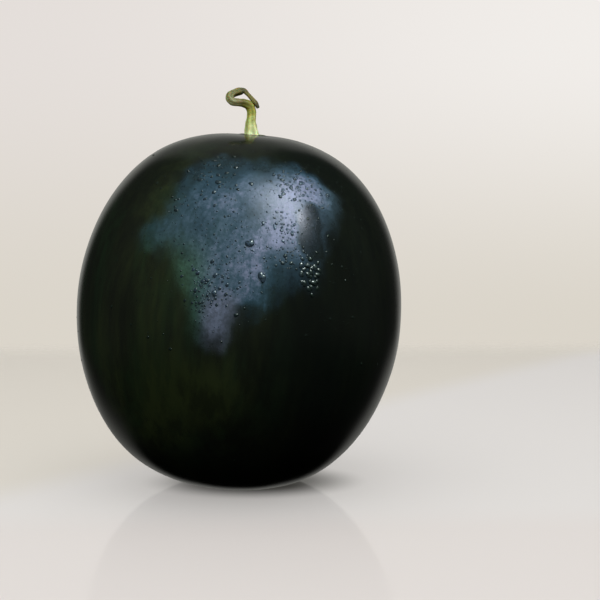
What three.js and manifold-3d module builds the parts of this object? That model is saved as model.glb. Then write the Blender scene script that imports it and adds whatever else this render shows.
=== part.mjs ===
// A whole, dark-rinded, upright oval watermelon with its curled stalk, as picked.
// Millimetres, +Z up. The origin is on the surface that the fruit stands on, under the middle of the fruit.
// The fruit stands on the small flat of its blossom end and leans a little towards +X, stalk up.

import * as THREE from "three";
import { ParametricGeometry } from "three/addons/geometries/ParametricGeometry.js";
import { mergeVertices } from "three/addons/utils/BufferGeometryUtils.js";
import Module from "manifold-3d";

// Fruit: driving sizes
const FRUIT_WIDTH = 250; // across, left to right
const FRUIT_DEPTH = 247; // across, front to back
const FRUIT_LENGTH = 275; // blossom end to stalk end, before it settles on its flat
const LEAN = THREE.MathUtils.degToRad(4.3); // stalk end towards +X
const FULL_FLANKS = 0.09; // how far the outline is fuller than an ellipse
const FULL_ENDS = 0.18; // more fullness, near the two ends only
const RIBS = 11; // faint ridges from end to end
const RIB_RISE = 0.35;
const LOPSIDED = 0.9; // one low swelling on the back of the fruit
const LOPSIDED_TOWARDS = THREE.MathUtils.degToRad(110);

// Flat that it stands on, and the blossom scar inside that flat
const SETTLE = 3; // how much of the round bottom is lost to the flat
const SETTLE_BLEND = 1.5; // height over which the flat turns up into the round
const SCAR_HOLLOW_RADIUS = 9;
const SCAR_HOLLOW_DEPTH = 2.4;
const SCAR_BUTTON_RADIUS = 4;
const SCAR_BUTTON_RISE = 1;

// Stalk end of the fruit
const CROWN_DIP = 1.6; // shallow dip round the stalk
const CROWN_DIP_RADIUS = 20;
const SOCKET_RADIUS = 4;
const SOCKET_DEPTH = 4.5;

// Stalk: points of its middle line from where it meets the rind, with its radius there
const STALK_LINE = [
  [0.0, 0.0, -3.0, 5.9],
  [-0.1, 0.0, 1.2, 5.3],
  [-0.6, 0.1, 7.7, 3.9],
  [-0.5, 0.2, 13.0, 3.0],
  [-0.4, 0.0, 18.2, 3.0],
  [-1.9, -0.5, 22.2, 3.3],
  [-5.4, -1.6, 24.1, 2.9],
  [-9.8, -2.8, 24.9, 2.6],
  [-14.3, -3.4, 25.3, 2.5],
  [-17.2, -2.2, 27.6, 2.6],
  [-16.8, 0.4, 30.6, 2.6],
  [-13.2, 2.6, 32.6, 2.6],
  [-9.2, 3.6, 33.7, 2.2],
  [-6.0, 3.2, 33.9, 1.9],
  [-3.1, 2.2, 31.0, 1.5],
  [-0.2, 1.0, 27.8, 1.7],
  [2.6, -0.2, 24.6, 1.8],
  [4.6, -1.0, 20.9, 1.2],
];
const STALK_RIDGES = 5;
const STALK_RIDGE_SHARE = 0.09; // of the radius
const STALK_TWIST = THREE.MathUtils.degToRad(150); // turn of the ridges from foot to tip
const GAP = 0.3; // clear space between the stalk and the rind

// Fineness of the meshes
const FRUIT_COLUMNS = 72;
const FRUIT_ROWS = 48;
const STALK_SIDES = 15;
const STALK_RINGS = 64;
const SOCKET_SIDES = 24;

const wasm = await Module();
wasm.setup();

// A three.js geometry, seams closed and flattened triangles dropped, as a solid.
function solidFrom(geometry) {
  const bare = new THREE.BufferGeometry();
  bare.setAttribute("position", geometry.getAttribute("position"));
  bare.setIndex(geometry.index);
  const merged = mergeVertices(bare, 1e-4);
  const corners = merged.index.array;
  const kept = [];
  for (let i = 0; i < corners.length; i += 3) {
    const [a, b, c] = [corners[i], corners[i + 1], corners[i + 2]];
    if (a !== b && b !== c && c !== a) kept.push(a, b, c);
  }
  return new wasm.Manifold(
    new wasm.Mesh({
      numProp: 3,
      vertProperties: merged.getAttribute("position").array,
      triVerts: new Uint32Array(kept),
    }),
  );
}

// A solid as a three.js mesh with its own name and material.
function meshFrom(solid, name, material) {
  const { vertProperties, triVerts } = solid.getMesh();
  const geometry = new THREE.BufferGeometry();
  geometry.setAttribute("position", new THREE.BufferAttribute(vertProperties, 3));
  geometry.setIndex(new THREE.BufferAttribute(triVerts, 1));
  geometry.computeVertexNormals();
  const mesh = new THREE.Mesh(geometry, material);
  mesh.name = name;
  return mesh;
}

// Angle from the middle of the fruit for a share of the way from end to end: rows crowd at both ends.
function rowAngle(share) {
  const fromEnd = Math.min(share, 1 - share) * 2;
  const angle = (Math.PI / 2) * (1 - fromEnd ** 1.5);
  return share < 0.5 ? -angle : angle;
}

// Point of the rind, about the fruit's own middle, before it settles: around is 0 to 1 from +X
// by way of +Y, and along is 0 at the blossom end and 1 at the stalk end.
function rindPoint(around, along, target) {
  const turn = around * Math.PI * 2;
  const angle = rowAngle(along);
  const height = Math.sin(angle); // -1 to 1
  const girth = Math.max(Math.cos(angle), 0); // 1 at the middle, 0 at the ends
  const fullness = 1 + FULL_FLANKS * height ** 2 + FULL_ENDS * height ** 6;
  const relief =
    RIB_RISE * girth * Math.cos(RIBS * turn) + LOPSIDED * girth ** 2 * Math.cos(turn - LOPSIDED_TOWARDS);
  const radius = girth * fullness + (girth > 0 ? relief / (FRUIT_WIDTH / 2) : 0);
  target.set(
    radius * (FRUIT_WIDTH / 2) * Math.cos(turn),
    radius * (FRUIT_DEPTH / 2) * Math.sin(turn),
    height * (FRUIT_LENGTH / 2),
  );
  if (height > 0) {
    const fromAxis = Math.hypot(target.x, target.y) / CROWN_DIP_RADIUS;
    target.z -= CROWN_DIP * Math.exp(-(fromAxis ** 2));
  }
  target.applyAxisAngle(new THREE.Vector3(0, 1, 0), LEAN);
}

// Height above the surface that it stands on: flat below -blend, unchanged above +blend, smooth between.
function settled(height) {
  const near = Math.max(SETTLE_BLEND - Math.abs(height), 0) / SETTLE_BLEND;
  return Math.max(height, 0) + (near ** 2 * SETTLE_BLEND) / 4;
}

// Rise of the rind inside the flat at a distance from the blossom scar: a hollow with a button in it.
function scarRise(distance) {
  const dome = (radius) => Math.max(1 - (distance / radius) ** 2, 0) ** 2;
  return SCAR_HOLLOW_DEPTH * dome(SCAR_HOLLOW_RADIUS) - SCAR_BUTTON_RISE * dome(SCAR_BUTTON_RADIUS);
}

// The fruit, standing on z = 0 and centred on x = y = 0, with the place of its stalk end.
function fruitForm() {
  const geometry = new ParametricGeometry(rindPoint, FRUIT_COLUMNS, FRUIT_ROWS);
  geometry.computeBoundingBox();
  const middle = geometry.boundingBox.getCenter(new THREE.Vector3());
  const lowest = geometry.boundingBox.min.z;
  geometry.translate(-middle.x, -middle.y, -lowest - SETTLE);
  const scar = new THREE.Vector3();
  rindPoint(0, 0, scar);
  const crown = new THREE.Vector3();
  rindPoint(0, 1, crown);
  crown.add(new THREE.Vector3(-middle.x, -middle.y, -lowest - SETTLE));
  const points = geometry.getAttribute("position");
  for (let i = 0; i < points.count; i++) {
    const fromScar = Math.hypot(points.getX(i) + middle.x - scar.x, points.getY(i) + middle.y - scar.y);
    const isUnder = points.getZ(i) < SETTLE;
    points.setZ(i, settled(points.getZ(i)) + (isUnder ? scarRise(fromScar) : 0));
  }
  return { solid: solidFrom(geometry), crown };
}

// A round plug or hole standing on a point, from below it to above it.
function upright(radius, from, to, at) {
  const geometry = new THREE.CylinderGeometry(radius, radius, to - from, SOCKET_SIDES);
  geometry.rotateX(Math.PI / 2);
  geometry.translate(at.x, at.y, at.z + (from + to) / 2);
  return solidFrom(geometry);
}

// The stalk swept along its middle line: ridged, twisting, wide at the foot, thin at the tip.
function stalkSweep(crown) {
  const line = new THREE.CatmullRomCurve3(
    STALK_LINE.map(([x, y, z]) => new THREE.Vector3(x, y, z).add(crown)),
    false,
    "centripetal",
  );
  const radii = new THREE.CatmullRomCurve3(
    STALK_LINE.map(([, , , radius], i) => new THREE.Vector3(i, radius, 0)),
  );
  const frames = line.computeFrenetFrames(STALK_RINGS, false);
  // Even steps along the middle line, as the frames have, turned into the curve's own share.
  const shareAt = (step) => line.getUtoTmapping(step / STALK_RINGS);
  const surface = (around, along, target) => {
    const step = Math.min(Math.max(Math.round(along * (STALK_RINGS + 2)) - 1, 0), STALK_RINGS);
    const isCap = along * (STALK_RINGS + 2) < 0.5 || along * (STALK_RINGS + 2) > STALK_RINGS + 1.5;
    const share = shareAt(step);
    const turn = around * Math.PI * 2;
    const ridge = 1 + STALK_RIDGE_SHARE * Math.cos(STALK_RIDGES * turn + STALK_TWIST * share);
    const radius = isCap ? 0 : radii.getPoint(share).y * ridge;
    target.copy(line.getPoint(share));
    target.addScaledVector(frames.normals[step], radius * Math.cos(turn));
    target.addScaledVector(frames.binormals[step], radius * Math.sin(turn));
  };
  return solidFrom(new ParametricGeometry(surface, STALK_SIDES, STALK_RINGS + 2));
}

const { solid: wholeFruit, crown } = fruitForm();

// The stalk's foot follows the rind a gap above it, and its plug stands in the socket.
function stalkForm() {
  const foot = stalkSweep(crown).subtract(wholeFruit.translate([0, 0, GAP]));
  return foot.add(upright(SOCKET_RADIUS - GAP, GAP - SOCKET_DEPTH, 3, crown));
}

const rindMaterial = new THREE.MeshStandardMaterial({ color: 0x0f1b12, roughness: 0.3, metalness: 0 });
const stalkMaterial = new THREE.MeshStandardMaterial({ color: 0x8a9445, roughness: 0.75, metalness: 0 });

const socket = upright(SOCKET_RADIUS, -SOCKET_DEPTH, SOCKET_DEPTH, crown);
const watermelon = new THREE.Group();
watermelon.name = "watermelon";
watermelon.add(meshFrom(wholeFruit.subtract(socket), "fruit", rindMaterial));
watermelon.add(meshFrom(stalkForm(), "stalk", stalkMaterial));

export default watermelon;
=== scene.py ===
# The looks of a whole, upright, near-black watermelon: wet rind, curled stalk and beads of water.
# Metres, +Z up. The fruit stands on z = 0, and the camera looks along +Y.

import math

import bpy
import numpy as np
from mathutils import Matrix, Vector
from mathutils.bvhtree import BVHTree


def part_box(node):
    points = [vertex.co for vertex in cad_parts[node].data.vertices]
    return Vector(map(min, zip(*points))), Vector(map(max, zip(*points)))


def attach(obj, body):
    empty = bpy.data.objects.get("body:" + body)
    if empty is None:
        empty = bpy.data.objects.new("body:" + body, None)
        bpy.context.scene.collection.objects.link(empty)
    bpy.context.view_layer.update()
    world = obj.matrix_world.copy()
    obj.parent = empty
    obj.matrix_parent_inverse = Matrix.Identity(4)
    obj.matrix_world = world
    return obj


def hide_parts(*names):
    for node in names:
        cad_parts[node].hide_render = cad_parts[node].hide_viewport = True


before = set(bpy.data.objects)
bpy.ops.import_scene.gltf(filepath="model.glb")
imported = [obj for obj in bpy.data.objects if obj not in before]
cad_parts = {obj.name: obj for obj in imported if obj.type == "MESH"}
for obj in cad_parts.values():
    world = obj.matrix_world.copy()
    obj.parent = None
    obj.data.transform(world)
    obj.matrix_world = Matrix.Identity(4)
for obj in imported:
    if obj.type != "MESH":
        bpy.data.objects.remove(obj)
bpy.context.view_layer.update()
fruitLow, fruitHigh = (np.array(corner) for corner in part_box("fruit"))
print("frame loaded")


# Camera

cameraView = {
    "distance": 1.4,  # from the middle of the fruit
    "elevation": 7.3,  # degrees above the middle of the fruit
    "middleHeight": 0.137,
    "turnRight": 1.93,  # degrees
    "lookDown": 7.06,  # degrees
    "lens": 108.36,  # mm
    "sensor": 36.0,  # mm
    "picture": 600,  # pixels of the photograph, across and down
}


def makeCamera():
    values = cameraView
    rise = math.radians(values["elevation"])
    data = bpy.data.cameras.new("camera")
    data.lens = values["lens"]
    data.sensor_width = values["sensor"]
    made = bpy.data.objects.new("camera", data)
    back = values["distance"] * math.cos(rise)
    made.location = (0, -back, values["middleHeight"] + values["distance"] * math.sin(rise))
    made.rotation_euler = (math.radians(90 - values["lookDown"]), 0, -math.radians(values["turnRight"]))
    bpy.context.scene.collection.objects.link(made)
    bpy.context.scene.camera = made
    bpy.context.view_layer.update()
    return made


camera = makeCamera()


def sightLine(across, down):
    # Start and direction of the line of sight through a pixel of the photograph.
    half = cameraView["picture"] / 2
    spread = cameraView["sensor"] / cameraView["lens"] / cameraView["picture"]
    toward = Vector(((across - half) * spread, (half - down) * spread, -1)).normalized()
    return camera.matrix_world.translation, camera.matrix_world.to_3x3() @ toward


print("camera placed")


# Shared mesh work

def addPiece(name, points, faces, material, attributes=None):
    # Puts arrays of points and faces, and values for each point, into a smooth mesh object at the origin.
    mesh = bpy.data.meshes.new(name)
    mesh.from_pydata(points, [], faces)
    mesh.polygons.foreach_set("use_smooth", np.ones(len(mesh.polygons), bool))
    for label, values in (attributes or {}).items():
        isVector = values.ndim == 2
        layer = mesh.attributes.new(label, "FLOAT_VECTOR" if isVector else "FLOAT", "POINT")
        layer.data.foreach_set("vector" if isVector else "value", values.astype(np.float32).ravel())
    mesh.materials.append(material)
    mesh.update()
    made = bpy.data.objects.new(name, mesh)
    bpy.context.scene.collection.objects.link(made)
    return made


def tubeFaces(rings, sides):
    # Quads between neighbouring rings of a closed tube, with a fan to a first and a last single point.
    # Points run: first pole, then ring by ring, then last pole.
    ring, side = np.meshgrid(np.arange(rings - 1), np.arange(sides), indexing="ij")
    here = 1 + ring * sides + side
    beside = 1 + ring * sides + (side + 1) % sides
    quads = np.stack([here, beside, beside + sides, here + sides], -1).reshape(-1, 4)
    edge = np.arange(sides)
    nextEdge = (edge + 1) % sides
    last = 1 + rings * sides
    lastRing = last - sides
    bottom = np.stack([np.zeros(sides, int), 1 + nextEdge, 1 + edge], -1)
    top = np.stack([np.full(sides, last), lastRing + edge, lastRing + nextEdge], -1)
    return quads.tolist() + bottom.tolist() + top.tolist()


def unevenness(places, size, seed, waves=24):
    # Soft noise from -1 to 1: a sum of sine waves of about one size, along seeded random directions.
    draw = np.random.default_rng(seed)
    directions = draw.normal(size=(waves, 3))
    directions /= np.linalg.norm(directions, axis=1, keepdims=True)
    turns = draw.uniform(0.6, 1.6, waves) * 2 * np.pi / size
    shifts = draw.uniform(0, 2 * np.pi, waves)
    total = np.zeros(places.shape[:-1])
    for direction, turn, shift in zip(directions, turns, shifts):
        total += np.sin(places @ direction * turn + shift)
    return total / math.sqrt(waves / 2) / 1.6


def smooth(value, low, high):
    # 0 below low, 1 above high, and a smooth S between.
    share = np.clip((value - low) / (high - low), 0, 1)
    return share * share * (3 - 2 * share)


# Shared shader work

def fill(tree, node, inputs):
    # Each input is a value, or the output of another node.
    for name, value in inputs.items():
        if isinstance(value, bpy.types.NodeSocket):
            tree.links.new(value, node.inputs[name])
        else:
            node.inputs[name].default_value = value


def place(tree, kind, inputs=None, **settings):
    # A new node with its own settings.
    made = tree.nodes.new(kind)
    for name, value in settings.items():
        setattr(made, name, value)
    fill(tree, made, inputs or {})
    return made


def maths(tree, operation, first, second=0.0, clamp=False):
    inputs = {0: first, 1: second}
    return place(tree, "ShaderNodeMath", inputs, operation=operation, use_clamp=clamp).outputs[0]


def times(tree, first, second):
    return maths(tree, "MULTIPLY", first, second)


def vectorMaths(tree, operation, inputs, output="Vector"):
    return place(tree, "ShaderNodeVectorMath", inputs, operation=operation).outputs[output]


def remap(tree, value, low, high, newLow=0.0, newHigh=1.0):
    inputs = {"Value": value, "From Min": low, "From Max": high, "To Min": newLow, "To Max": newHigh}
    return place(tree, "ShaderNodeMapRange", inputs, interpolation_type="SMOOTHSTEP").outputs[0]


def blendTones(tree, share, first, second, way="MIX"):
    inputs = {0: share, 6: first, 7: second}
    return place(tree, "ShaderNodeMix", inputs, data_type="RGBA", blend_type=way).outputs[2]


def blendValues(tree, share, first, second):
    return place(tree, "ShaderNodeMix", {0: share, 2: first, 3: second}, data_type="FLOAT").outputs[0]


def noise(tree, at, scale, detail=3.0, roughness=0.5):
    inputs = {"Vector": at, "Scale": scale, "Detail": detail, "Roughness": roughness}
    return place(tree, "ShaderNodeTexNoise", inputs).outputs[0]


def attribute(tree, label, output="Fac"):
    return place(tree, "ShaderNodeAttribute", attribute_name=label).outputs[output]


def tone(red, green, blue):
    return (red, green, blue, 1.0)


def startGroup(name, inputs, output):
    # An empty node group with named inputs, each a Vector or a Float, and one named output, a Float.
    group = bpy.data.node_groups.new(name, "ShaderNodeTree")
    for label, kind in inputs.items():
        group.interface.new_socket(label, in_out="INPUT", socket_type="NodeSocket" + kind)
    group.interface.new_socket(output, in_out="OUTPUT", socket_type="NodeSocketFloat")
    given = group.nodes.new("NodeGroupInput").outputs
    result = group.nodes.new("NodeGroupOutput").inputs[output]
    return group, given, result


def makePatches():
    # Group: a soft-edged patchy mask from noise at two sizes, for mottling, stains and cork.
    inputs = {"Place": "Vector", "Scale": "Float", "Cover": "Float", "Softness": "Float"}
    group, given, result = startGroup("patches", inputs, "Mask")
    wide = noise(group, given["Place"], given["Scale"], 2.0)
    fine = noise(group, given["Place"], times(group, given["Scale"], 4.7), 4.0, 0.6)
    both = maths(group, "ADD", times(group, wide, 0.65), times(group, fine, 0.35))
    edge = maths(group, "SUBTRACT", 1.0, given["Cover"])
    low = maths(group, "SUBTRACT", edge, given["Softness"])
    high = maths(group, "ADD", edge, given["Softness"])
    group.links.new(remap(group, both, low, high), result)
    return group


def makeBeading():
    # Group: height of tiny round beads on a surface, each in its own cell, some cells bare.
    inputs = {"Place": "Vector", "Scale": "Float", "Fill": "Float"}
    group, given, result = startGroup("beading", inputs, "Height")
    cells = place(group, "ShaderNodeTexVoronoi", {"Vector": given["Place"], "Scale": given["Scale"]})
    drawn = place(group, "ShaderNodeSeparateColor", {"Color": cells.outputs["Color"]}).outputs[0]
    isThere = maths(group, "LESS_THAN", drawn, given["Fill"])
    size = maths(group, "ADD", times(group, drawn, 0.25), 0.22)
    reach = maths(group, "DIVIDE", cells.outputs["Distance"], size)
    dome = maths(group, "SUBTRACT", 1.0, times(group, reach, reach), clamp=True)
    group.links.new(times(group, maths(group, "SQRT", dome), isThere), result)
    return group


def makeStrokeMask():
    # Group: 1 near the straight line from one place to another, fading to 0 between two distances from it.
    inputs = {"Place": "Vector", "From": "Vector", "To": "Vector", "Full": "Float", "Ends": "Float"}
    group, given, result = startGroup("strokeMask", inputs, "Mask")
    reach = vectorMaths(group, "SUBTRACT", {0: given["Place"], 1: given["From"]})
    along = vectorMaths(group, "SUBTRACT", {0: given["To"], 1: given["From"]})
    length = vectorMaths(group, "DOT_PRODUCT", {0: along, 1: along}, "Value")
    forward = vectorMaths(group, "DOT_PRODUCT", {0: reach, 1: along}, "Value")
    share = maths(group, "DIVIDE", forward, length, clamp=True)
    nearest = vectorMaths(group, "SCALE", {0: along, "Scale": share})
    distance = vectorMaths(group, "DISTANCE", {0: reach, 1: nearest}, "Value")
    group.links.new(remap(group, distance, given["Full"], given["Ends"], 1.0, 0.0), result)
    return group


patchesGroup = makePatches()
beadingGroup = makeBeading()
strokeGroup = makeStrokeMask()


def patches(tree, at, scale, cover, softness):
    inputs = {"Place": at, "Scale": scale, "Cover": cover, "Softness": softness}
    return place(tree, "ShaderNodeGroup", inputs, node_tree=patchesGroup).outputs["Mask"]


def newMaterial(name):
    material = bpy.data.materials.new(name)
    material.use_nodes = True
    tree = material.node_tree
    return material, tree, tree.nodes["Principled BSDF"]


# Fruit: the shape

fruitShape = {
    "fullFlanks": 0.09,  # how far the outline is fuller than an ellipse
    "fullEnds": 0.18,
    "lean": 4.3,  # degrees, stalk end towards +X
    "settle": 0.003,  # how much of the round bottom is lost to the flat
    "settleBlend": 0.0015,
    "width": 0.250,
    "depth": 0.247,
    "length": 0.275,
    "ribs": 11,
    "ribRise": 0.00035,
    "swelling": 0.0009,  # one low swelling on the back
    "swellingTowards": 110,  # degrees from +X
    "crownDip": 0.0016,
    "crownDipRadius": 0.020,
    "lipRise": 0.0007,  # lip of the rind round the stalk's foot
    "lipRadius": 0.0085,
    "lipWidth": 0.0025,
    "creases": 7,  # short creases that run out from the stalk
    "creaseDepth": 0.00012,
    "creaseStarts": (0.004, 0.009),  # how far from the axis they set in and fade, in metres
    "creaseEnds": (0.010, 0.026),
    "creaseSwerve": 9,
    "scarHollow": 0.0024,
    "scarRadius": 0.009,
    "buttonRise": 0.001,
    "buttonRadius": 0.004,
    "waves": 0.00022,  # soft unevenness all over
    "waveSize": 0.07,
    "waveSeed": 4,
    "columns": 384,
    "rows": 236,
}


def rindRaw(turn, angle):
    # Radius: cosine of the angle, made fuller by the height squared and to the sixth, plus low ribs and
    # a swelling. Height: sine of the angle, less a dip round the stalk and creases, plus a lip. It leans.
    values = fruitShape
    height = np.sin(angle)
    girth = np.maximum(np.cos(angle), 0)
    fullness = 1 + values["fullFlanks"] * height**2 + values["fullEnds"] * height**6
    ribs = values["ribRise"] * girth * np.cos(values["ribs"] * turn)
    swelling = values["swelling"] * girth**2 * np.cos(turn - math.radians(values["swellingTowards"]))
    radius = girth * fullness + np.where(girth > 0, (ribs + swelling) / (values["width"] / 2), 0)
    x = radius * values["width"] / 2 * np.cos(turn)
    y = radius * values["depth"] / 2 * np.sin(turn)
    z = height * values["length"] / 2
    fromAxis = np.hypot(x, y)
    dip = values["crownDip"] * np.exp(-((fromAxis / values["crownDipRadius"]) ** 2))
    lip = values["lipRise"] * np.exp(-(((fromAxis - values["lipRadius"]) / values["lipWidth"]) ** 2))
    creaseReach = smooth(fromAxis, *values["creaseStarts"]) * (1 - smooth(fromAxis, *values["creaseEnds"]))
    creaseTurn = values["creases"] * turn + values["creaseSwerve"] * np.sin(turn)
    crease = values["creaseDepth"] * creaseReach * np.cos(creaseTurn) ** 4
    z = z + np.where(height > 0, lip - dip - crease, 0)
    points = np.stack([x, y, z], -1)
    outwards = points / np.linalg.norm(points, axis=-1, keepdims=True)
    waves = values["waves"] * unevenness(points, values["waveSize"], values["waveSeed"])
    points = points + outwards * waves[..., None] * girth[..., None]
    lean = math.radians(values["lean"])
    cosine, sine = math.cos(lean), math.sin(lean)
    return points @ np.array([[cosine, 0, sine], [0, 1, 0], [-sine, 0, cosine]]).T


def rowAngles(rows):
    # Angles from the blossom end to the stalk end, without the two ends. Rows crowd at both.
    share = np.arange(1, rows) / rows
    fromEnd = np.minimum(share, 1 - share) * 2
    angle = np.pi / 2 * (1 - fromEnd**1.5)
    return np.where(share < 0.5, -angle, angle)


def makeRindMesh():
    # The rind as rings of points between its two ends, settled on its flat like the CAD fruit.
    values = fruitShape
    turns = np.arange(values["columns"]) * 2 * np.pi / values["columns"]
    angle, turn = np.meshgrid(rowAngles(values["rows"]), turns, indexing="ij")
    ends = rindRaw(np.zeros(2), np.array([-np.pi / 2, np.pi / 2]))
    points = np.concatenate([ends[:1], rindRaw(turn, angle).reshape(-1, 3), ends[1:]])
    middle = (points.min(0) + points.max(0)) / 2
    shift = np.array([-middle[0], -middle[1], -points[:, 2].min() - values["settle"]])
    points = points + shift
    scar, crown = ends[0] + shift, ends[1] + shift
    height = points[:, 2].copy()
    near = np.maximum(values["settleBlend"] - np.abs(height), 0) / values["settleBlend"]
    settled = np.maximum(height, 0) + near**2 * values["settleBlend"] / 4
    fromScar = np.hypot(points[:, 0] - scar[0], points[:, 1] - scar[1])
    isUnder = height < values["settle"]
    hollow = values["scarHollow"] * np.maximum(1 - (fromScar / values["scarRadius"]) ** 2, 0) ** 2
    button = values["buttonRise"] * np.maximum(1 - (fromScar / values["buttonRadius"]) ** 2, 0) ** 2
    points[:, 2] = settled + np.where(isUnder, hollow - button, 0)
    scar = np.array([scar[0], scar[1], values["scarHollow"] - values["buttonRise"]])
    turnAll = np.concatenate([[0], turn.ravel(), [0]])
    angleAll = np.concatenate([[-np.pi / 2], angle.ravel(), [np.pi / 2]])
    faces = tubeFaces(values["rows"] - 1, values["columns"])
    return points, faces, turnAll, angleAll, scar, crown


rindPoints, rindFaces, rindTurn, rindAngle, scarPoint, crownPoint = makeRindMesh()
rindTree = BVHTree.FromPolygons([Vector(p) for p in rindPoints], rindFaces)


def rindUnder(across, down):
    # Point and outward normal of the rind at a pixel of the photograph.
    start, toward = sightLine(across, down)
    point, normal, _, _ = rindTree.ray_cast(start, toward)
    return np.array(point), np.array(normal)


print("rind shaped,", len(rindPoints), "points, box", rindPoints.min(0), rindPoints.max(0))


# Fruit: the misted film on the rind

mistStrokes = {
    # Where the mist lies: from and to, as pixels across and down in the photograph, the radius where the
    # stroke ends, in metres, and the thickness
    "laid": [
        ((298, 196), (288, 226), 0.034, 0.85),
        ((310, 185), (315, 190), 0.019, 0.75),
        ((205, 185), (240, 185), 0.035, 0.45),
        ((182, 225), (240, 212), 0.034, 0.47),
        ((155, 240), (148, 235), 0.020, 0.30),
        ((200, 270), (245, 254), 0.034, 0.63),
        ((212, 315), (246, 296), 0.032, 0.50),
        ((222, 302), (215, 338), 0.019, 0.35),
        ((254, 235), (256, 315), 0.010, 0.25),
        ((290, 266), (296, 266), 0.033, 0.35),
        ((332, 205), (310, 246), 0.020, 0.40),
        ((214, 160), (298, 170), 0.013, 0.20),
        ((260, 185), (275, 178), 0.020, 0.25),
        ((260, 246), (290, 235), 0.015, 0.35),
    ],
    "laidFull": 0.15,  # share of the radius that keeps its full thickness
    # Where it has been wiped, with the same numbers
    "bare": [
        ((310, 215), (312, 250), 0.0125, 0.65),
        ((250, 320), (240, 360), 0.0155, 0.55),
        ((340, 176), (350, 205), 0.0080, 0.70),
    ],
    "bareFull": 0.55,
    # Thin lines where a bead has run down: from, to, where it is full and where it ends, and how bare
    "runs": [
        ((235, 160), (234, 192), 0.0003, 0.0014, 0.30),
        ((217, 262), (216, 300), 0.0002, 0.0012, 0.20),
        ((251, 247), (250, 292), 0.0003, 0.0014, 0.25),
        ((263, 281), (262, 330), 0.0004, 0.0016, 0.35),
        ((281, 262), (281, 318), 0.0002, 0.0012, 0.25),
        ((296, 246), (297, 300), 0.0002, 0.0012, 0.25),
    ],
    "lilac": ((221, 312), (219, 340), 0.007, 0.020),  # a stroke that is greyer than the rest
    "shake": 0.0024,
    "shakeSize": 0.016,
    "shakeSeeds": (11, 12, 13),
    "elsewhere": 0.45,  # thickness of the thin mist on the rest of the fruit
    "elsewhereNoise": ((0.22, 21), (0.06, 22)),  # size and seed of its wide and its narrow patches
    "elsewhereNarrow": 0.4,  # weight of the narrow patches
    "elsewhereEdge": (0.1, 0.9),
    "elsewhereBack": (-0.02, 0.05),  # where it sets in towards the back, and upwards, in metres
    "elsewhereHigh": (0.06, 0.14),
}


def fromStroke(points, start, end):
    # Distance from each point to the straight line between two places on the rind.
    first, last = rindUnder(*start)[0], rindUnder(*end)[0]
    along = last - first
    share = np.clip((points - first) @ along / (along @ along), 0, 1)
    return np.linalg.norm(points - first - share[:, None] * along, axis=1)


def mistOver(points):
    # At each point, what soft round-ended strokes leave together: one less the product of what each lets
    # through, after the points are shaken a little by noise, less the bare strokes. Thin wide patches from
    # noise cover the sides that the photograph doesn't show.
    values = mistStrokes
    shakes = [unevenness(points, values["shakeSize"], seed) for seed in values["shakeSeeds"]]
    shaken = points + values["shake"] * np.stack(shakes, -1)

    def letThrough(kind, fullShare):
        clear = np.ones(len(points))
        for start, end, ends, thickness in values[kind]:
            reach = fromStroke(shaken, start, end)
            clear *= 1 - thickness * (1 - smooth(reach, fullShare * ends, ends))
        return clear

    mist = (1 - letThrough("laid", values["laidFull"])) * letThrough("bare", values["bareFull"])
    wide, narrow = (unevenness(points, size, seed) for size, seed in values["elsewhereNoise"])
    patchy = smooth(wide + values["elsewhereNarrow"] * narrow, *values["elsewhereEdge"])
    away = smooth(points[:, 1], *values["elsewhereBack"])
    upper = smooth(points[:, 2], *values["elsewhereHigh"])
    return np.maximum(mist, values["elsewhere"] * patchy * away * upper)


rindLook = {
    "nearBlack": tone(0.0022, 0.0032, 0.0024),
    "lighterBlack": tone(0.0068, 0.0080, 0.0050),  # near black, a little lighter, where the lighter tones show
    "darkGreen": tone(0.0085, 0.0150, 0.0070),
    "olive": tone(0.0190, 0.0240, 0.0085),
    # Where the lighter tones show: from and to, in metres, and how strongly at each
    "lighterLeft": (0.06, -0.05, 0.10, 1.0),
    "lighterBack": (0.0, 0.09),
    "lighterBelowCrown": (0.270, 0.200, 0.35, 1.0),
    # Painted shade: the lighter tones fade out near the table, so the bottom stays near black
    "paintedShadeNearTable": (0.030, 0.068, 0.20, 1.0),
    "veins": (5.0, 0.46, 0.10),  # scale, cover and softness of patches
    "blotches": (1.6, 0.50, 0.14),
    # Olive spot low on the front: from and to, as pixels, where it is full and where it ends, in metres
    "paleSpot": ((168, 386), (205, 394), 0.006, 0.042),
    "collar": tone(0.090, 0.105, 0.035),
    "collarReach": (0.0065, 0.0110),  # metres from the stalk, where it is full and where it ends
    "cork": tone(0.150, 0.110, 0.065),
    "corkReach": (0.0040, 0.0075),
    "ragged": 0.012,
    "mistBlue": tone(0.048, 0.128, 0.180),
    # Thick mist: partly its own lilac and partly a painted highlight of the window lamp's sheen
    "lilacMistAndSheen": tone(0.145, 0.163, 0.224),
    "mistGreen": tone(0.066, 0.155, 0.095),
    "mistPaintedShade": tone(0.046, 0.088, 0.105),  # painted shade: the mist darker towards the right edge
    "blueToLilacSheen": (0.14, 0.78),  # thickness of the film where lilac, with its painted highlight, takes over from blue
    "paintedShadeSide": (0.050, 0.072),  # places in metres
    "greenSide": (-0.012, -0.042),
    "greenHigh": (0.210, 0.180),
    "greenPatches": (14.0, 0.70, 0.15),
    "streak": (0.86, 1.10),  # how far streaks, clouds and grains thin and thicken the mist
    "cloud": (0.94, 1.06),
    "grain": (0.86, 1.09),
    "dryRoughness": 0.13,
    "crownRoughness": 0.19,
    "crownReach": (0.030, 0.080),
    "mistRoughness": 0.46,
    "corkRoughness": 0.7,
    "specular": 0.32,
    "pores": 0.00002,  # metres of bump
    "beads": 0.00012,
}


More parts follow.
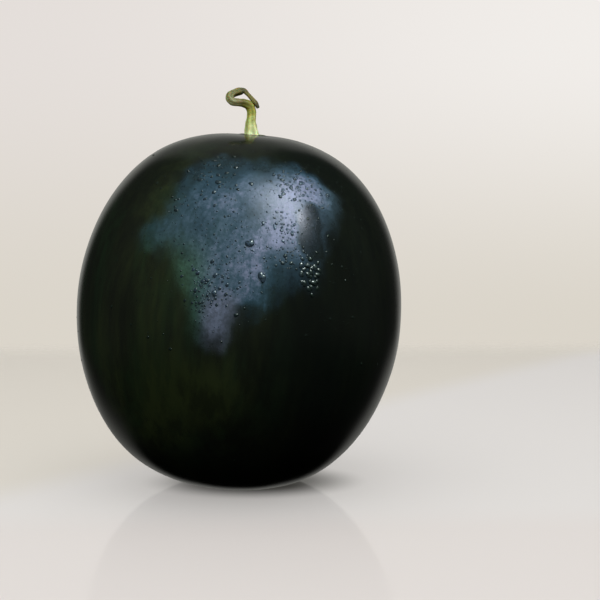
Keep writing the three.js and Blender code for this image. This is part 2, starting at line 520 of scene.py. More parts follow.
def strokeOver(tree, at, start, end, full, ends):
    # Mask of a stroke over the rind between two pixels of the photograph.
    first, last = rindUnder(*start)[0].tolist(), rindUnder(*end)[0].tolist()
    inputs = {"Place": at, "From": first, "To": last, "Full": full, "Ends": ends}
    return place(tree, "ShaderNodeGroup", inputs, node_tree=strokeGroup).outputs["Mask"]


def makeRindMaterial():
    values = rindLook
    material, tree, shader = newMaterial("wetRind")
    at = place(tree, "ShaderNodeTexCoord").outputs["Object"]
    grainAt = attribute(tree, "grain", "Vector")
    mist = attribute(tree, "mist")

    # Colour under the mist: near black, with dark green veins and olive blotches that run from end to end
    parts = place(tree, "ShaderNodeSeparateXYZ", {0: at})
    side, back, high = (parts.outputs[axis] for axis in "XYZ")
    lighterLeft = remap(tree, side, *values["lighterLeft"])
    lighterShare = maths(tree, "MAXIMUM", lighterLeft, remap(tree, back, *values["lighterBack"]))
    lighterShare = times(tree, lighterShare, remap(tree, high, *values["lighterBelowCrown"]))
    # Painted shade: the lighter tones fade out near the table
    lighterShare = times(tree, lighterShare, remap(tree, high, *values["paintedShadeNearTable"]))
    veins = times(tree, patches(tree, grainAt, *values["veins"]), lighterShare)
    blotches = times(tree, patches(tree, grainAt, *values["blotches"]), lighterShare)
    streaky = remap(tree, noise(tree, grainAt, 16.0, 3.0, 0.6), 0.35, 0.65, 0.35, 1.0)
    pale = strokeOver(tree, at, *values["paleSpot"])
    skin = blendTones(tree, lighterShare, values["nearBlack"], values["lighterBlack"])
    skin = blendTones(tree, veins, skin, values["darkGreen"])
    skin = blendTones(tree, times(tree, blotches, streaky), skin, values["olive"])
    skin = blendTones(tree, times(tree, pale, streaky), skin, values["olive"])

    # Pale olive collar round the stalk, and cork on the blossom scar
    ragged = times(tree, maths(tree, "SUBTRACT", noise(tree, at, 260.0), 0.5), values["ragged"])
    fromCrown = vectorMaths(tree, "DISTANCE", {0: at, 1: crownPoint.tolist()}, "Value")
    collar = remap(tree, maths(tree, "ADD", fromCrown, ragged), *values["collarReach"], 1.0, 0.0)
    skin = blendTones(tree, collar, skin, values["collar"])
    fromScar = vectorMaths(tree, "DISTANCE", {0: at, 1: scarPoint.tolist()}, "Value")
    cork = remap(tree, maths(tree, "ADD", fromScar, ragged), *values["corkReach"], 1.0, 0.0)
    skin = blendTones(tree, cork, skin, values["cork"])

    # Mist: as thick as the attribute says, with fine upright streaks, clouds and grains. It is squared, as
    # thin mist on a dark rind hardly shows. Then come the runs of water through it.
    wide = times(tree, noise(tree, grainAt, 11.0, 3.0, 0.6), 0.55)
    narrow = times(tree, noise(tree, grainAt, 42.0, 3.0, 0.6), 0.45)
    streaks = remap(tree, maths(tree, "ADD", wide, narrow), 0.34, 0.64, *values["streak"])
    clouds = remap(tree, noise(tree, at, 90.0, 3.0, 0.6), 0.34, 0.64, *values["cloud"])
    grains = remap(tree, noise(tree, at, 420.0, 4.0, 0.65), 0.32, 0.62, *values["grain"])
    film = times(tree, times(tree, times(tree, mist, streaks), clouds), grains)
    film = maths(tree, "POWER", film, 2.0, clamp=True)
    swaying = times(tree, maths(tree, "SUBTRACT", noise(tree, at, 60.0, 2.0), 0.5), 0.006)
    aside = place(tree, "ShaderNodeCombineXYZ", {"X": swaying}).outputs[0]
    swayed = vectorMaths(tree, "ADD", {0: at, 1: aside})
    for start, end, full, ends, bareness in mistStrokes["runs"]:
        run = strokeOver(tree, swayed, start, end, full, ends)
        film = times(tree, film, maths(tree, "SUBTRACT", 1.0, times(tree, run, bareness)))

    # Thin mist is blue and thick mist lilac, the lilac partly a painted highlight on the real mist.
    sheenShare = remap(tree, film, *values["blueToLilacSheen"])
    hue = blendTones(tree, sheenShare, values["mistBlue"], values["lilacMistAndSheen"])
    # Painted shade darkens the mist towards the right edge, and it is greener low on the left
    hue = blendTones(tree, remap(tree, side, *values["paintedShadeSide"]), hue, values["mistPaintedShade"])
    lower = times(tree, remap(tree, side, *values["greenSide"]), remap(tree, high, *values["greenHigh"]))
    greenish = times(tree, lower, patches(tree, at, *values["greenPatches"]))
    hue = blendTones(tree, greenish, hue, values["mistGreen"])
    hue = blendTones(tree, strokeOver(tree, at, *mistStrokes["lilac"]), hue, values["lilacMistAndSheen"])
    surface = blendTones(tree, film, skin, hue)

    # Beads finer than the modelled drops, only where there is mist
    inputs = {"Place": at, "Scale": 620.0, "Fill": 0.55}
    beading = place(tree, "ShaderNodeGroup", inputs, node_tree=beadingGroup).outputs["Height"]
    beadHeight = times(tree, beading, times(tree, film, values["beads"]))
    pores = times(tree, noise(tree, at, 900.0, 2.0), values["pores"])
    inputs = {"Height": maths(tree, "ADD", beadHeight, pores), "Distance": 1.0, "Strength": 1.0}
    bump = place(tree, "ShaderNodeBump", inputs).outputs[0]

    dry = maths(tree, "ADD", values["dryRoughness"], times(tree, noise(tree, grainAt, 7.0), 0.06))
    dull = remap(tree, fromCrown, *values["crownReach"], values["crownRoughness"], 0.0)
    rough = maths(tree, "MAXIMUM", dry, dull)
    rough = blendValues(tree, maths(tree, "POWER", film, 0.4), rough, values["mistRoughness"])
    rough = blendValues(tree, maths(tree, "MAXIMUM", collar, cork), rough, values["corkRoughness"])

    inputs = {"Base Color": surface, "Roughness": rough, "Normal": bump}
    fill(tree, shader, inputs | {"Specular IOR Level": values["specular"]})
    return material


def makeRind():
    girth = np.maximum(np.cos(rindAngle), 0)
    grain = np.stack([np.cos(rindTurn) * girth, np.sin(rindTurn) * girth, rindAngle * 0.18], -1)
    attributes = {"grain": grain, "mist": mistOver(rindPoints)}
    return addPiece("rind", rindPoints.tolist(), rindFaces, makeRindMaterial(), attributes)


rind = makeRind()
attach(rind, "root")
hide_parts("fruit")
print("rind made")


# Stalk

stalkShape = {
    # Points of the middle line from where it meets the rind, with the radius, in mm, close to the CAD stalk
    "line": [
        (-0.4, 0.0, -3.0, 5.6),
        (-0.5, 0.0, 1.2, 5.0),
        (-0.9, 0.1, 7.7, 4.2),
        (-0.5, 0.2, 13.0, 3.5),
        (-0.4, 0.0, 18.2, 3.4),
        (-1.9, -0.5, 22.2, 3.6),
        (-5.4, -1.6, 24.1, 3.3),
        (-9.8, -2.8, 24.9, 3.0),
        (-14.3, -3.4, 25.3, 3.0),
        (-16.8, -2.2, 27.8, 3.1),
        (-16.2, 0.4, 30.6, 3.1),
        (-13.2, 2.6, 32.4, 3.0),
        (-9.2, 3.6, 33.5, 2.8),
        (-6.3, 3.2, 34.0, 2.1),
        (-3.4, 2.2, 31.2, 1.5),
        (-0.2, 1.0, 27.8, 1.7),
        (2.6, -0.2, 24.6, 1.8),
        (4.6, -1.0, 20.9, 1.2),
    ],
    "ridges": 5,
    "ridgeShare": 0.07,
    "twist": 150,  # degrees from foot to tip
    "fibres": 23,
    "fibreShare": 0.018,
    "wrinkleShare": 0.05,
    "wrinkleStep": 0.0011,
    "wrinkleBend": (60, 220),  # bend from which wrinkles show and are full, in one over metres
    "lumpShare": 0.05,
    "lumpSize": 0.006,
    "lumpSeed": 31,
    "flareReach": 0.004,  # height over which the foot spreads out on the rind
    "flare": 0.0007,
    "tip": 0.0004,  # how far the closed tip stands out
    "rings": 420,
    "sides": 90,
}


def throughPoints(points, count):
    # Centripetal Catmull-Rom curve through rows of numbers, at even steps of its own parameter.
    first = 2 * points[:1] - points[1:2]
    last = 2 * points[-1:] - points[-2:-1]
    rows = np.concatenate([first, points, last])
    gaps = np.linalg.norm(np.diff(rows[:, :3], axis=0), axis=1) ** 0.5
    knots = np.concatenate([[0], np.cumsum(gaps)])
    along = np.linspace(0, len(points) - 1, count)
    span = np.minimum(along.astype(int), len(points) - 2)
    t0, t1, t2, t3 = (knots[span + k][:, None] for k in range(4))
    p0, p1, p2, p3 = (rows[span + k] for k in range(4))
    t = t1 + (t2 - t1) * (along - span)[:, None]
    a1 = (t1 - t) / (t1 - t0) * p0 + (t - t0) / (t1 - t0) * p1
    a2 = (t2 - t) / (t2 - t1) * p1 + (t - t1) / (t2 - t1) * p2
    a3 = (t3 - t) / (t3 - t2) * p2 + (t - t2) / (t3 - t2) * p3
    b1 = (t2 - t) / (t2 - t0) * a1 + (t - t0) / (t2 - t0) * a2
    b2 = (t3 - t) / (t3 - t1) * a2 + (t - t1) / (t3 - t1) * a3
    return (t2 - t) / (t2 - t1) * b1 + (t - t1) / (t2 - t1) * b2


def carriedFrames(line):
    # Two directions across the line at each of its points, carried along it without twisting.
    tangents = np.gradient(line, axis=0)
    tangents /= np.linalg.norm(tangents, axis=1, keepdims=True)
    across = np.zeros_like(line)
    side = np.cross(tangents[0], [0, 1, 0])
    for i, tangent in enumerate(tangents):
        side = side - tangent * (side @ tangent)
        side = side / np.linalg.norm(side)
        across[i] = side
    return tangents, across, np.cross(tangents, across)


def makeStalkMesh():
    # A section carried along the middle line: its radius, times one plus five rounded ridges that twist,
    # fine fibres, lumps, and wrinkles where the line bends, plus a foot that spreads out over the rind.
    values = stalkShape
    rows = np.array(values["line"]) / 1000
    fine = throughPoints(rows, 2400)
    steps = np.linalg.norm(np.diff(fine[:, :3], axis=0), axis=1)
    reach = np.concatenate([[0], np.cumsum(steps)])
    even = np.linspace(0, reach[-1], values["rings"])
    fine = np.stack([np.interp(even, reach, column) for column in fine.T], -1)
    line, radius = fine[:, :3] + crownPoint, fine[:, 3]
    tangents, across, beside = carriedFrames(line)
    bend = np.linalg.norm(np.gradient(tangents, axis=0), axis=1) / (even[1] - even[0])
    share = even / even[-1]

    turn = np.arange(values["sides"]) * 2 * np.pi / values["sides"]
    turns = turn[None, :] + math.radians(values["twist"]) / values["ridges"] * share[:, None]
    ridge = np.cos(values["ridges"] * turns)
    wander = 0.8 * np.sin(even * 400)[:, None]
    strength = 0.6 + 0.4 * np.cos(3 * turns + even[:, None] * 900)
    fibre = np.cos(values["fibres"] * turns + wander) * strength
    inward = np.gradient(tangents, axis=0) / (even[1] - even[0])
    cosine, sine = np.cos(turn)[None, :, None], np.sin(turn)[None, :, None]
    towards = across[:, None] * cosine + beside[:, None] * sine
    inside = np.einsum("rsk,rk->rs", towards, inward) / np.maximum(bend, 1)[:, None]
    creased = smooth(bend, *values["wrinkleBend"])[:, None] * smooth(inside, -0.2, 0.9)
    wrinkle = creased * np.sin(even * 2 * np.pi / values["wrinkleStep"])[:, None]
    core = line[:, None] + towards * radius[:, None, None] * 0.6
    lumps = unevenness(core, values["lumpSize"], values["lumpSeed"])
    grow = 1 + values["ridgeShare"] * ridge + values["fibreShare"] * fibre
    grow = grow + values["wrinkleShare"] * wrinkle + values["lumpShare"] * lumps
    above = np.maximum(line[:, 2] - crownPoint[2], 0)
    foot = values["flare"] * np.exp(-above / values["flareReach"])[:, None] * (1 + 0.35 * ridge)
    surface = line[:, None] + towards * (radius[:, None] * grow + foot)[..., None]
    tip = line[-1:] + tangents[-1:] * values["tip"]
    points = np.concatenate([line[:1], surface.reshape(-1, 3), tip])

    def withPoles(rings):
        # The rings' values in the order of the points, with the mean of the end ring at each pole.
        return np.concatenate([[rings[0].mean()], rings.ravel(), [rings[-1].mean()]])

    full = np.ones_like(ridge)
    fibreAt = (np.cos(turns), np.sin(turns), even[:, None] * 60 * full)
    attributes = {
        "along": withPoles(share[:, None] * full),
        # Mask for the painted shade in the grooves, low fibres and wrinkles
        "grooveShadeMask": withPoles(0.7 * ridge + 0.3 * fibre - 0.6 * wrinkle),
        "fibre": np.stack([withPoles(rings) for rings in fibreAt], -1),
    }
    return points, tubeFaces(values["rings"], values["sides"]), attributes


stalkLook = {
    # Colours from the foot, 0, to the tip, 1
    "skin": [
        (0.00, tone(0.30, 0.32, 0.13)),
        (0.07, tone(0.60, 0.61, 0.30)),
        (0.14, tone(0.46, 0.46, 0.17)),
        (0.28, tone(0.37, 0.36, 0.065)),
        (0.36, tone(0.15, 0.135, 0.012)),
        (0.43, tone(0.075, 0.064, 0.008)),
        (0.52, tone(0.19, 0.175, 0.085)),
        (0.60, tone(0.130, 0.118, 0.035)),
        (0.71, tone(0.110, 0.098, 0.018)),
        (0.76, tone(0.050, 0.042, 0.020)),
        (0.84, tone(0.135, 0.110, 0.022)),
        (0.93, tone(0.095, 0.070, 0.018)),
        (1.00, tone(0.02, 0.012, 0.008)),
    ],
    # Painted shade in the grooves and wrinkles, and the tone of the fibre lines
    "shadeAndFibreTone": tone(0.13, 0.12, 0.02),
    "stain": tone(0.055, 0.04, 0.012),
    "roughness": (0.45, 0.75),  # at the foot and at the tip
    "fibreHeight": 0.00012,
    "sockets": {"Specular IOR Level": 0.4, "Subsurface Weight": 0.30, "Subsurface Scale": 0.003},
}


def makeStalkMaterial():
    values = stalkLook
    material, tree, shader = newMaterial("stalkSkin")
    at = place(tree, "ShaderNodeTexCoord").outputs["Object"]
    along = attribute(tree, "along")
    grooveShadeMask = attribute(tree, "grooveShadeMask")
    fibreAt = attribute(tree, "fibre", "Vector")
    wander = times(tree, maths(tree, "SUBTRACT", noise(tree, at, 300.0, 2.0), 0.5), 0.05)
    ramp = place(tree, "ShaderNodeValToRGB", {0: maths(tree, "ADD", along, wander)})
    stops = values["skin"]
    for position, _ in stops[1:-1]:
        ramp.color_ramp.elements.new(position)
    for element, (position, colour) in zip(ramp.color_ramp.elements, stops):
        element.position = position
        element.color = colour
    lines = noise(tree, fibreAt, 6.0, 4.0, 0.6)
    # Painted shade: the skin is darkened in the grooves, wrinkles and low fibres
    deep = remap(tree, grooveShadeMask, 0.1, -0.7, 0.0, 0.35)
    skin = blendTones(tree, deep, ramp.outputs[0], values["shadeAndFibreTone"], "MULTIPLY")
    skin = blendTones(tree, remap(tree, lines, 0.35, 0.65, 0.0, 0.35), skin, values["shadeAndFibreTone"])
    stains = patches(tree, at, 240.0, 0.36, 0.07)
    dryness = remap(tree, along, 0.25, 0.75, 0.1, 0.75)
    skin = blendTones(tree, times(tree, stains, dryness), skin, values["stain"])
    height = times(tree, lines, values["fibreHeight"])
    bump = place(tree, "ShaderNodeBump", {"Height": height, "Distance": 1.0, "Strength": 0.8}).outputs[0]
    rough = remap(tree, along, 0.0, 0.8, *values["roughness"])
    fill(tree, shader, {"Base Color": skin, "Roughness": rough, "Normal": bump})
    fill(tree, shader, values["sockets"])
    return material


def makeStalk():
    points, faces, attributes = makeStalkMesh()
    return addPiece("curledStalk", points.tolist(), faces, makeStalkMaterial(), attributes)


stalk = makeStalk()
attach(stalk, "root")
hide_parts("stalk")
print("stalk made")


# Beads of water

waterBeads = {
    # Single beads that the photograph shows: pixel across and down, and width in metres
    "single": [
        (250, 243, 0.0062),
        (262, 277, 0.0066),
        (214, 293, 0.0040),
        (188, 171, 0.0026),
        (157, 183, 0.0026),
        (148, 337, 0.0022),
        (170, 349, 0.0024),
        (328, 236, 0.0026),
        (327, 252, 0.0022),
        (236, 315, 0.0030),
        (176, 210, 0.0030),
        (301, 183, 0.0042),
        (296, 182, 0.0034),
        (218, 182, 0.0040),
        (214, 192, 0.0032),
    ],
    # Groups: pixel across and down, spread across and down in metres, how many, and widths in metres
    "groups": [
        (311, 276, 0.0040, 0.0066, 110, 0.0028, 0.0048),
        (301, 185, 0.0140, 0.0080, 150, 0.0011, 0.0036),
        (315, 202, 0.0080, 0.0080, 60, 0.0010, 0.0028),
        (284, 232, 0.0080, 0.0070, 90, 0.0010, 0.0028),
        (288, 256, 0.0110, 0.0060, 60, 0.0010, 0.0030),
        (216, 178, 0.0095, 0.0110, 70, 0.0013, 0.0038),
        (211, 286, 0.0100, 0.0090, 90, 0.0011, 0.0034),
        (200, 303, 0.0060, 0.0070, 40, 0.0011, 0.0028),
        (235, 262, 0.0220, 0.0180, 120, 0.0008, 0.0020),
        (225, 215, 0.0300, 0.0220, 110, 0.0008, 0.0018),
        (180, 208, 0.0060, 0.0060, 20, 0.0010, 0.0024),
        (218, 335, 0.0080, 0.0100, 8, 0.0008, 0.0016),
    ],
    "scattered": 620,  # over the whole upper rind
    "scatteredWidths": (0.0007, 0.0024),
    "fused": 0.35,  # share of beads that may run into a larger one
    "closeness": (0.30, 0.53),  # how near such a bead and any other may lie, as a share of both widths
    "largeFrom": 0.0027,  # width from which a bead is modelled finely
    "largeGrid": (28, 7, 51),  # sides, rings and seed of the large beads, and of the small ones
    "smallGrid": (10, 3, 52),
    "rise": (0.18, 0.30),  # height of a bead as a share of its width, least and most
    "sag": 0.16,  # how far a large bead slumps downhill
    "wobble": 0.14,  # unevenness of the rim of a small bead, and twice that of a large one
    "seed": 7,
}


def beadPlaces():
    # Places, normals and widths of all beads, with most of those that touch a larger one taken away.
    values = waterBeads
    draw = np.random.default_rng(values["seed"])
    found = []

    def drop(start, toward, width):
        point, normal, _, _ = rindTree.ray_cast(start, toward)
        if point is not None:
            found.append((*point, *normal, width))

    for across, down, width in values["single"]:
        drop(*sightLine(across, down), width)
    perMetre = cameraView["lens"] / cameraView["sensor"] * cameraView["picture"] / cameraView["distance"]
    for across, down, spreadAcross, spreadDown, count, least, most in values["groups"]:
        moves = draw.normal(size=(count, 2)) * (spreadAcross * perMetre, spreadDown * perMetre)
        widths = least * (most / least) ** (draw.random(count) ** 2.2)
        for (moveAcross, moveDown), width in zip(moves, widths):
            drop(*sightLine(across + moveAcross, down + moveDown), width)
    least, most = values["scatteredWidths"]
    middle = Vector((0, 0, (fruitLow[2] + fruitHigh[2]) / 2))
    outward = draw.normal(size=(values["scattered"], 3))
    outward[:, 2] = np.abs(outward[:, 2]) * 1.1 - 0.35
    outward /= np.linalg.norm(outward, axis=1, keepdims=True)
    patchy = unevenness(outward, 0.9, 41) + draw.normal(size=len(outward)) * 0.35
    keep = patchy > 0.15 + 0.35 * (outward[:, 1] < 0)
    widths = least * (most / least) ** (draw.random(len(outward)) ** 2.6)
    for toward, width in zip(outward[keep], widths[keep]):
        start = middle + Vector(toward) * 0.3
        drop(start, -Vector(toward), width)

    beads = np.array(found)
    beads = beads[np.argsort(-beads[:, 6], kind="stable")]
    closeness = np.where(draw.random(len(beads)) < values["fused"], *values["closeness"])
    apart = np.linalg.norm(beads[:, None, :3] - beads[None, :, :3], axis=2)
    touch = apart < closeness[:, None] * (beads[:, None, 6] + beads[None, :, 6])
    kept = []
    for i in range(len(beads)):
        if not touch[i, kept].any():
            kept.append(i)
    return beads[kept]


def makeBeadMesh(beads, sides, rings, seed):
    # Each bead is a low dome. Its rings run out as the sine and fall as the cosine of the same angle. Its
    # rim is a circle plus waves of two, three and four, just inside the rind, and a large bead is longer
    # and fuller downhill.
    values = waterBeads
    count = len(beads)
    places, normals, widths = beads[:, :3], beads[:, 3:6], beads[:, 6]
    downhill = np.array([0, 0, -1.0]) + normals * normals[:, 2:3]
    downhill /= np.maximum(np.linalg.norm(downhill, axis=1, keepdims=True), 1e-6)
    sideways = np.cross(normals, downhill)
    draw = np.random.default_rng(seed)
    angle = np.arange(sides) * 2 * np.pi / sides
    steps = np.arange(1, rings + 1) / rings * np.pi / 2
    out, rise = np.sin(steps), np.cos(steps)
    size = np.clip((widths - 0.0012) / 0.003, 0, 1)[:, None]
    waves = [np.sin(k * angle + draw.uniform(0, 2 * np.pi, (count, 1))) / k for k in (2, 3, 4)]
    wobble = 1 + values["wobble"] * (1 + size) * (1.4 * waves[0] + waves[1] + waves[2])
    stretch = 1 + 0.25 * size * draw.uniform(-0.4, 1, (count, 1))
    outline = wobble[:, None, :] * out[None, :, None]
    across = outline * np.cos(angle) / np.sqrt(stretch)[..., None]
    down = outline * np.sin(angle) * np.sqrt(stretch)[..., None]
    down = down + values["sag"] * size[..., None] * rise[None, :, None]
    half = widths[:, None, None] / 2
    tall = (widths * draw.uniform(*values["rise"], count))[:, None, None]
    sink = (0.00003 + 0.02 * widths)[:, None, None]

    def spots(across, down, height):
        # Places on each bead, from how far across, downhill and up they lie.
        flat = across[..., None] * sideways[:, None, None] + down[..., None] * downhill[:, None, None]
        return places[:, None, None] + flat + height[..., None] * normals[:, None, None]

    none = np.zeros((count, 1, 1))
    body = spots(across * half, down * half, tall * rise[None, :, None] - sink + none * across[:, :1])
    tip = spots(none, values["sag"] * size[..., None] * half, tall - sink)
    under = spots(none, none, -sink * 1.5)
    points = np.concatenate([part.reshape(count, -1, 3) for part in (tip, body, under)], 1)
    single = tubeFaces(rings, sides)
    quads = np.array([face for face in single if len(face) == 4])
    fans = np.array([face for face in single if len(face) == 3])
    starts = (np.arange(count) * points.shape[1])[:, None, None]
    faces = (quads[None] + starts).reshape(-1, 4).tolist() + (fans[None] + starts).reshape(-1, 3).tolist()
    mist = np.repeat(mistOver(places), points.shape[1])
    return points.reshape(-1, 3), faces, mist


beadLook = {
    "deep": tone(0.0050, 0.0085, 0.0065),
    "misted": tone(0.048, 0.070, 0.110),  # what a bead on thick mist shows
    "roughness": 0.06,
}


def makeBeadMaterial():
    values = beadLook
    material, tree, shader = newMaterial("waterBead")
    at = place(tree, "ShaderNodeTexCoord").outputs["Object"]
    uneven = remap(tree, noise(tree, at, 700.0, 2.0), 0.35, 0.65, 0.3, 1.3)
    film = maths(tree, "POWER", attribute(tree, "mist"), 2.0)
    share = maths(tree, "MULTIPLY", film, uneven, clamp=True)
    body = blendTones(tree, share, values["deep"], values["misted"])
    fill(tree, shader, {"Base Color": body, "Roughness": values["roughness"], "Specular IOR Level": 0.5})
    return material


def makeBeads():
    # The larger beads finely, the small ones with a few dozen faces each.
    places = beadPlaces()
    isLarge = places[:, 6] > waterBeads["largeFrom"]
    fine = makeBeadMesh(places[isLarge], *waterBeads["largeGrid"])
    plain = makeBeadMesh(places[~isLarge], *waterBeads["smallGrid"])
    points = np.concatenate([fine[0], plain[0]])
    faces = fine[1] + [[corner + len(fine[0]) for corner in face] for face in plain[1]]
    attributes = {"mist": np.concatenate([fine[2], plain[2]])}
    print("beads:", len(places), "of which large:", isLarge.sum())
    return addPiece("waterBeads", points.tolist(), faces, makeBeadMaterial(), attributes)


beads = makeBeads()
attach(beads, "root")
print("beads of water made")


# Floor

floorLook = {
    # Painted light falloff: the floor's tone changes with place, darker and yellower far back and towards
    # the right
    "toneNear": tone(0.718, 0.686, 0.674),
    "toneMiddle": tone(0.730, 0.714, 0.708),
    "farShadeTone": tone(0.700, 0.669, 0.615),
    "nearTo": (-0.17, -0.08),  # where the near tone ends
    "farFrom": (0.12, 0.235),  # where the painted far shade starts and is full, half way across
    "farSlope": 1.2,  # how much farther back towards the right
    "halfWidth": 3.0,
    "near": -3.0,
    "far": 0.68,  # edge behind the fruit, which the photograph shows out of focus
    "edgeSoft": 0.07,
    "mirror": 0.13,  # share of mirror close to the fruit
    "mirrorFar": 0.04,
    "mirrorReach": (0.07, 0.36),
    "mirrorRoughness": 0.07,
    "contactShadowAt": (0.0108, 0.0),  # painted contact shadow: a soft dark on the floor under the fruit
    "contactShadowStretch": 0.72,
    "contactShadowFrom": 0.026,
    "contactShadowTo": 0.066,
    "contactShadowTone": tone(0.02, 0.02, 0.015),
}


def makeFloor():
    values = floorLook
    material = bpy.data.materials.new("paleTable")
    material.use_nodes = True
    tree = material.node_tree
    tree.nodes.clear()
    at = place(tree, "ShaderNodeTexCoord").outputs["Object"]
    parts = place(tree, "ShaderNodeSeparateXYZ", {0: at})
    side, back = parts.outputs["X"], parts.outputs["Y"]
    # Painted light falloff over the floor, from near to middle to far
    slanted = maths(tree, "SUBTRACT", back, times(tree, side, values["farSlope"]))
    near = remap(tree, back, *values["nearTo"])
    colour = blendTones(tree, near, values["toneNear"], values["toneMiddle"])
    colour = blendTones(tree, remap(tree, slanted, *values["farFrom"]), colour, values["farShadeTone"])
    # Painted contact shadow: the floor's colour darkens towards a stretched spot under the fruit
    offset = vectorMaths(tree, "SUBTRACT", {0: at, 1: (*values["contactShadowAt"], 0.0)})
    offset = vectorMaths(tree, "MULTIPLY", {0: offset, 1: (values["contactShadowStretch"], 1.0, 1.0)})
    away = vectorMaths(tree, "LENGTH", {0: offset}, "Value")
    paintedShadow = remap(tree, away, values["contactShadowFrom"], values["contactShadowTo"], 0.05, 1.0)
    colour = blendTones(tree, paintedShadow, values["contactShadowTone"], colour)
    matt = place(tree, "ShaderNodeBsdfDiffuse", {"Color": colour}).outputs[0]
    gloss = {"Color": tone(0.97, 0.97, 0.97), "Roughness": values["mirrorRoughness"]}
    mirror = place(tree, "ShaderNodeBsdfGlossy", gloss).outputs[0]
    distance = vectorMaths(tree, "LENGTH", {0: at}, "Value")
    share = remap(tree, distance, *values["mirrorReach"], values["mirror"], values["mirrorFar"])
    table = place(tree, "ShaderNodeMixShader", {0: share, 1: matt, 2: mirror}).outputs[0]
    clear = place(tree, "ShaderNodeBsdfTransparent").outputs[0]
    soft = values["edgeSoft"]
    ends = remap(tree, back, values["far"] - soft, values["far"] + soft)
    shader = place(tree, "ShaderNodeMixShader", {0: ends, 1: table, 2: clear}).outputs[0]
    isBack = place(tree, "ShaderNodeNewGeometry").outputs["Backfacing"]
    shader = place(tree, "ShaderNodeMixShader", {0: isBack, 1: shader, 2: clear}).outputs[0]
    place(tree, "ShaderNodeOutputMaterial", {"Surface": shader})
    side, near, far = values["halfWidth"], values["near"], values["far"] + soft
    corners = [(-side, near, 0), (side, near, 0), (side, far, 0), (-side, far, 0)]
    made = addPiece("floor", corners, [(0, 1, 2, 3)], material)
    made.visible_glossy = False  # the room says what the rind mirrors below
    made.visible_diffuse = False  # and the fruit stays dark towards the table
    return made


floor = makeFloor()
print("floor made")


# Surroundings

roomLight = {
    "wallLeftTop": tone(0.775, 0.730, 0.700),
    "wallRightTop": tone(0.880, 0.850, 0.820),
    "wallLow": tone(0.706, 0.664, 0.592),
    "wallAcross": (-0.15, 0.22),  # shares of the direction, sideways and upwards, between which it changes
    "wallUp": (-0.14, 0.02),
    "mirroredTone": tone(1.0, 1.0, 0.93),
    "behind": 0.40,  # brightness of what the rind mirrors behind the fruit, near the height of the table
    "behindHigh": 0.16,
    "behindLow": 0.20,
    "bandMiddle": -0.025,
    "bandMiddleHigh": -0.090,
    "bandFrom": 0.34,  # half width of the bright band, as a share of the direction sideways
    "bandTo": 0.57,
    "bandNarrows": 1.8,  # how much narrower it is high up
    "bandUp": (0.30, 0.70),  # share of the direction upwards where it starts to, and where it is narrowest
    "bandLowFrom": 0.42,
    "bandLowTo": 0.72,
    "side": 0.02,
    "front": 0.055,
    "frontLow": 0.006,
}


def makeRoom():
    # The camera sees a pale wall behind the table. The rind mirrors an upright bright band behind the
    # fruit, darkness beside the band, and a dim room in front over a dark table.
    values = roomLight
    world = bpy.data.worlds.new("room")
    bpy.context.scene.world = world
    world.use_nodes = True
    tree = world.node_tree
    tree.nodes.clear()
    toward = place(tree, "ShaderNodeTexCoord").outputs["Generated"]
    parts = place(tree, "ShaderNodeSeparateXYZ", {0: toward})
    x, y, z = (parts.outputs[axis] for axis in "XYZ")
    across = remap(tree, x, *values["wallAcross"])
    top = blendTones(tree, across, values["wallLeftTop"], values["wallRightTop"])
    wall = blendTones(tree, remap(tree, z, *values["wallUp"]), values["wallLow"], top)
    middle = remap(tree, z, *values["bandUp"], values["bandMiddle"], values["bandMiddleHigh"])
    aside = maths(tree, "ABSOLUTE", maths(tree, "SUBTRACT", x, middle))
    low = remap(tree, z, -0.16, -0.34)
    narrowed = times(tree, aside, remap(tree, z, *values["bandUp"], 1.0, values["bandNarrows"]))
    bandHigh = remap(tree, narrowed, values["bandFrom"], values["bandTo"], 1.0, 0.0)
    bandLow = remap(tree, aside, values["bandLowFrom"], values["bandLowTo"], 1.0, 0.0)
    band = times(tree, blendValues(tree, low, bandHigh, bandLow), remap(tree, y, -0.25, 0.35))
    behind = blendValues(tree, remap(tree, z, 0.15, 0.60), values["behind"], values["behindHigh"])
    behind = blendValues(tree, low, behind, values["behindLow"])
    behind = times(tree, behind, remap(tree, z, -0.45, -0.65, 1.0, 0.0))
    front = blendValues(tree, remap(tree, z, -0.10, -0.45), values["front"], values["frontLow"])
    rest = blendValues(tree, remap(tree, y, 0.15, 0.60), front, values["side"])
    bright = blendValues(tree, band, rest, behind)
    seen = place(tree, "ShaderNodeBackground", {"Color": wall, "Strength": 1.0}).outputs[0]
    inputs = {"Color": values["mirroredTone"], "Strength": bright}
    mirrored = place(tree, "ShaderNodeBackground", inputs).outputs[0]
    isCamera = place(tree, "ShaderNodeLightPath").outputs["Is Camera Ray"]
    both = place(tree, "ShaderNodeMixShader", {0: isCamera, 1: mirrored, 2: seen}).outputs[0]
    place(tree, "ShaderNodeOutputWorld", {"Surface": both})


makeRoom()

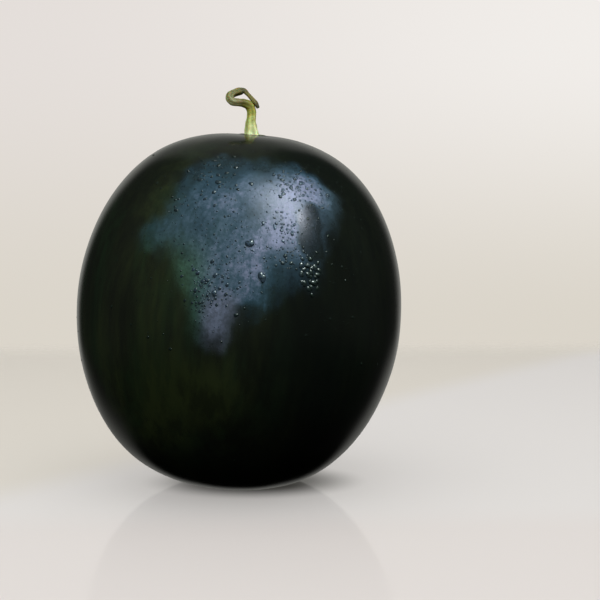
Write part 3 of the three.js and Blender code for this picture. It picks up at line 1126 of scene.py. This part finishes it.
lamps = [
    # Soft lights, as seen from the middle of the fruit: name, direction, distance, width and height,
    # power, colour, what it lights, if it is mirrored, and if it casts shadows
    ("window", (0.440, -0.395, 0.806), 1.5, (0.34, 0.58), 30.0, (0.80, 0.86, 1.0), "skin", True, True),
    ("glints", (0.45, -0.45, 0.77), 1.5, (1.5, 1.5), 12.0, (0.74, 1.0, 0.86), "beads", True, True),
    ("sparkle", (0.45, -0.45, 0.77), 1.3, (0.34, 0.34), 11.0, (0.90, 1.0, 1.0), "beads", True, True),
    ("sky", (-0.45, -0.62, 0.65), 1.7, (1.2, 0.9), 12.0, (0.66, 0.86, 1.0), "fruit", False, True),
    ("front", (-0.35, -1.0, 0.20), 2.0, (1.5, 1.0), 8.0, (0.93, 1.0, 0.76), "fruit", False, True),
    ("besideStalk", (-0.8, -0.5, 0.35), 1.5, (0.5, 0.5), 7.0, (1.0, 1.0, 0.85), "stalk", False, True),
    ("overhead", (0.0, -0.25, 1.0), 2.4, (3.2, 3.2), 26.0, (1.0, 0.985, 0.96), "fruit", False, True),
    ("fill", (0.0, -0.25, 1.0), 2.4, (3.2, 3.2), 82.5, (1.0, 0.99, 0.97), "floor", False, False),
    ("wallBehind", (0.0, 1.0, 0.35), 4.0, (7.0, 3.0), 24.0, (1.0, 0.96, 0.92), "floor", True, True),
    ("wallFront", (0.0, -1.0, 0.35), 4.0, (7.0, 3.0), 25.0, (1.0, 0.96, 0.92), "floor", True, True),
    ("wallLeft", (-1.0, 0.0, 0.35), 4.0, (7.0, 3.0), 25.0, (1.0, 0.96, 0.92), "floor", True, True),
    ("wallRight", (1.0, 0.0, 0.35), 4.0, (7.0, 3.0), 25.0, (1.0, 0.96, 0.92), "floor", True, True),
]


def makeLamps():
    lit = {
        "fruit": [rind, stalk, beads],
        "skin": [rind, stalk],
        "beads": [beads],
        "stalk": [stalk],
        "floor": [floor],
    }
    middle = Vector((0, 0, cameraView["middleHeight"]))
    for name, direction, distance, size, power, colour, reach, isMirrored, hasShadow in lamps:
        data = bpy.data.lights.new(name, "AREA")
        data.shape = "RECTANGLE"
        data.size, data.size_y = size
        data.energy = power
        data.color = colour
        data.use_shadow = hasShadow
        made = bpy.data.objects.new(name, data)
        made.location = middle + Vector(direction).normalized() * distance
        made.rotation_euler = (middle - made.location).to_track_quat("-Z", "Y").to_euler()
        made.visible_camera = False
        made.visible_glossy = isMirrored
        bpy.context.scene.collection.objects.link(made)
        group = bpy.data.collections.new(name + "Lights")
        for piece in lit[reach]:
            group.objects.link(piece)
        made.light_linking.receiver_collection = group


makeLamps()
bpy.context.scene.view_settings.view_transform = "Standard"
bpy.context.scene.view_settings.look = "None"
print("room and lamps made")
